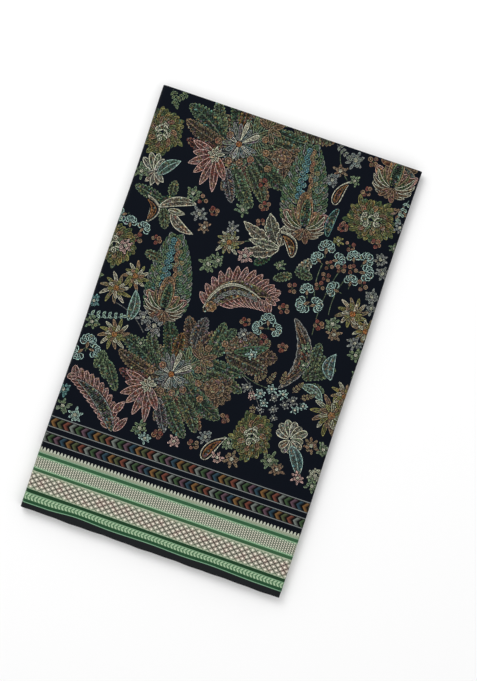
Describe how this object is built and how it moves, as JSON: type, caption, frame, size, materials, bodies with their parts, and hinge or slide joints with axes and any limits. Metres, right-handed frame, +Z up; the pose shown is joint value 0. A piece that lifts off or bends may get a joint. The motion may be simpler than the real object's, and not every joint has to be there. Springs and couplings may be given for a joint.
{
  "type": "folded saree",
  "caption": "Saree folded into a flat rectangular bundle and laid printed side up, with a woven border and dark selvedge at its hem end.",
  "frame": {"origin": "middle of the bundle's footprint, on the surface that it lies on", "axes": "+Z up, -Y towards the woven border at the hem, +X towards the right-hand folds as seen from above"},
  "size_m": [0.3448, 0.5666, 0.0165],
  "materials": {
    "printed_cloth": "fine matt cotton with a soft silky sheen, near black navy, printed with muted flowers, leaves and paisleys",
    "woven_border": "brocade weave of beige, mint, green and dark maroon threads",
    "selvedge": "plain dark weave"
  },
  "bodies": {
    "root": {"top_field": "printed_cloth", "top_border": "woven_border", "top_selvedge": "selvedge", "under_field": "printed_cloth", "under_border": "woven_border", "under_selvedge": "selvedge", "inner_sheets": "printed_cloth"}
  },
  "joints": []
}
